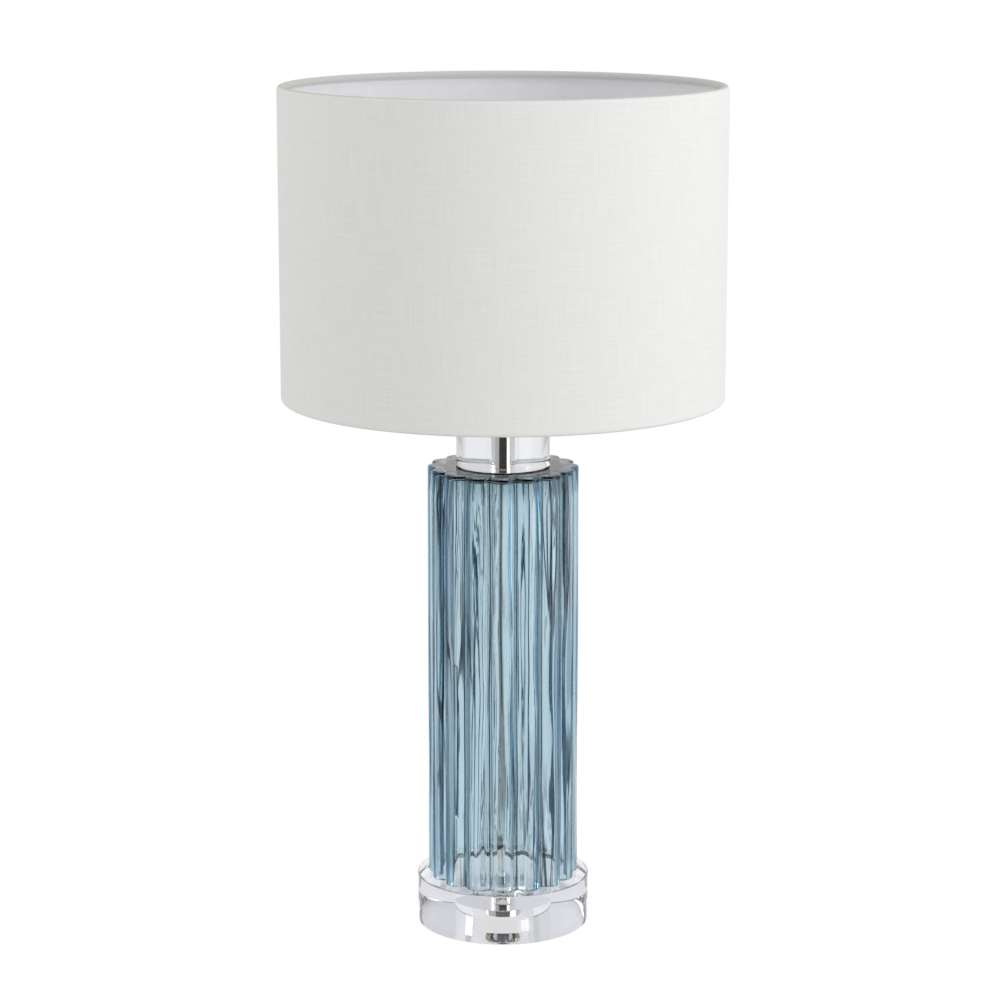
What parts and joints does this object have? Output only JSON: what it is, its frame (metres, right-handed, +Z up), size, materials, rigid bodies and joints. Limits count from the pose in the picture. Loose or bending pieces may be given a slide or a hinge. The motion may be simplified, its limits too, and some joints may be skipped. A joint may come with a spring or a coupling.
{
  "type": "column table lamp",
  "caption": "Table lamp with a hollow fluted blue glass column between clear acrylic discs on a nickel tube, under an off-white fabric drum shade.",
  "frame": {"origin": "centre of the foot, on the surface that the lamp stands on", "axes": "+Z up along the stem, -Y towards the viewer in the picture, +Y towards the cord outlet at the back"},
  "size_m": [0.35, 0.35, 0.6777],
  "materials": {
    "clear_acrylic": "polished clear",
    "clear_silicone": "translucent soft",
    "black_rubber": "matt",
    "zinc_steel": "zinc plated",
    "polished_nickel": "polished",
    "blue_glass": "fire polished, tinted blue",
    "holder_plastic": "moulded, satin",
    "switch_plastic": "moulded, gloss",
    "holder_ceramic": "matt",
    "brass": "stamped",
    "white_wire": "powder coated",
    "shade_lining": "matt film",
    "shade_linen": "fine woven",
    "black_glass": "gloss",
    "bulb_metal": "pressed thread",
    "bulb_plastic": "moulded",
    "opal_glass": "opal"
  },
  "bodies": {
    "stand": {"foot_disc": "clear_acrylic", "foot_pads": "clear_silicone", "cord_grommet": "clear_silicone", "base_washer": "polished_nickel", "base_nut": "zinc_steel", "threaded_tube": "zinc_steel", "stem_sleeve": "polished_nickel", "column_glass": "blue_glass", "top_backing": "black_rubber", "lower_gasket": "clear_silicone", "upper_gasket": "clear_silicone", "neck_disc": "clear_acrylic", "neck_washer": "polished_nickel", "neck_nut": "polished_nickel", "holder_cap": "holder_plastic", "switch_block": "holder_plastic", "holder_body": "holder_plastic", "holder_insert": "holder_ceramic", "terminal_screws": "brass", "screw_shell": "brass", "centre_contact": "brass", "shade_ring": "holder_plastic"},
    "switch": {"switch_bar": "switch_plastic"},
    "shade": {"carrier_hub": "white_wire", "carrier_arms": "white_wire", "bottom_ring": "white_wire", "top_ring": "white_wire", "shade_liner": "shade_lining", "shade_fabric": "shade_linen", "bottom_hem": "shade_linen", "top_hem": "shade_linen", "shade_seam": "shade_linen"},
    "bulb_foot": {"bulb_contact": "brass"},
    "bulb": {"bulb_insulator": "black_glass", "bulb_cap": "bulb_metal", "bulb_collar": "bulb_plastic", "bulb_globe": "opal_glass"}
  },
  "joints": [
    {"name": "switch_press", "type": "slide", "parent": "stand", "child": "switch", "axis": [-1, 0, 0], "range_m": [0, 0.008]},
    {"name": "shade_turn", "type": "hinge", "parent": "stand", "child": "shade", "pos_m": [0, 0, 0.45], "axis": [0, 0, 1], "continuous": true},
    {"name": "bulb_lift", "type": "slide", "parent": "stand", "child": "bulb_foot", "axis": [0, 0, 1], "range_m": [0, 0.01089]},
    {"name": "bulb_turn", "type": "hinge", "parent": "bulb_foot", "child": "bulb", "pos_m": [0, 0, 0.5], "axis": [0, 0, 1], "range_deg": [0, 1080]}
  ],
  "couplings": [
    {"joint": "bulb_lift", "follows": "bulb_turn", "m_per_rad": 0.00057757}
  ]
}
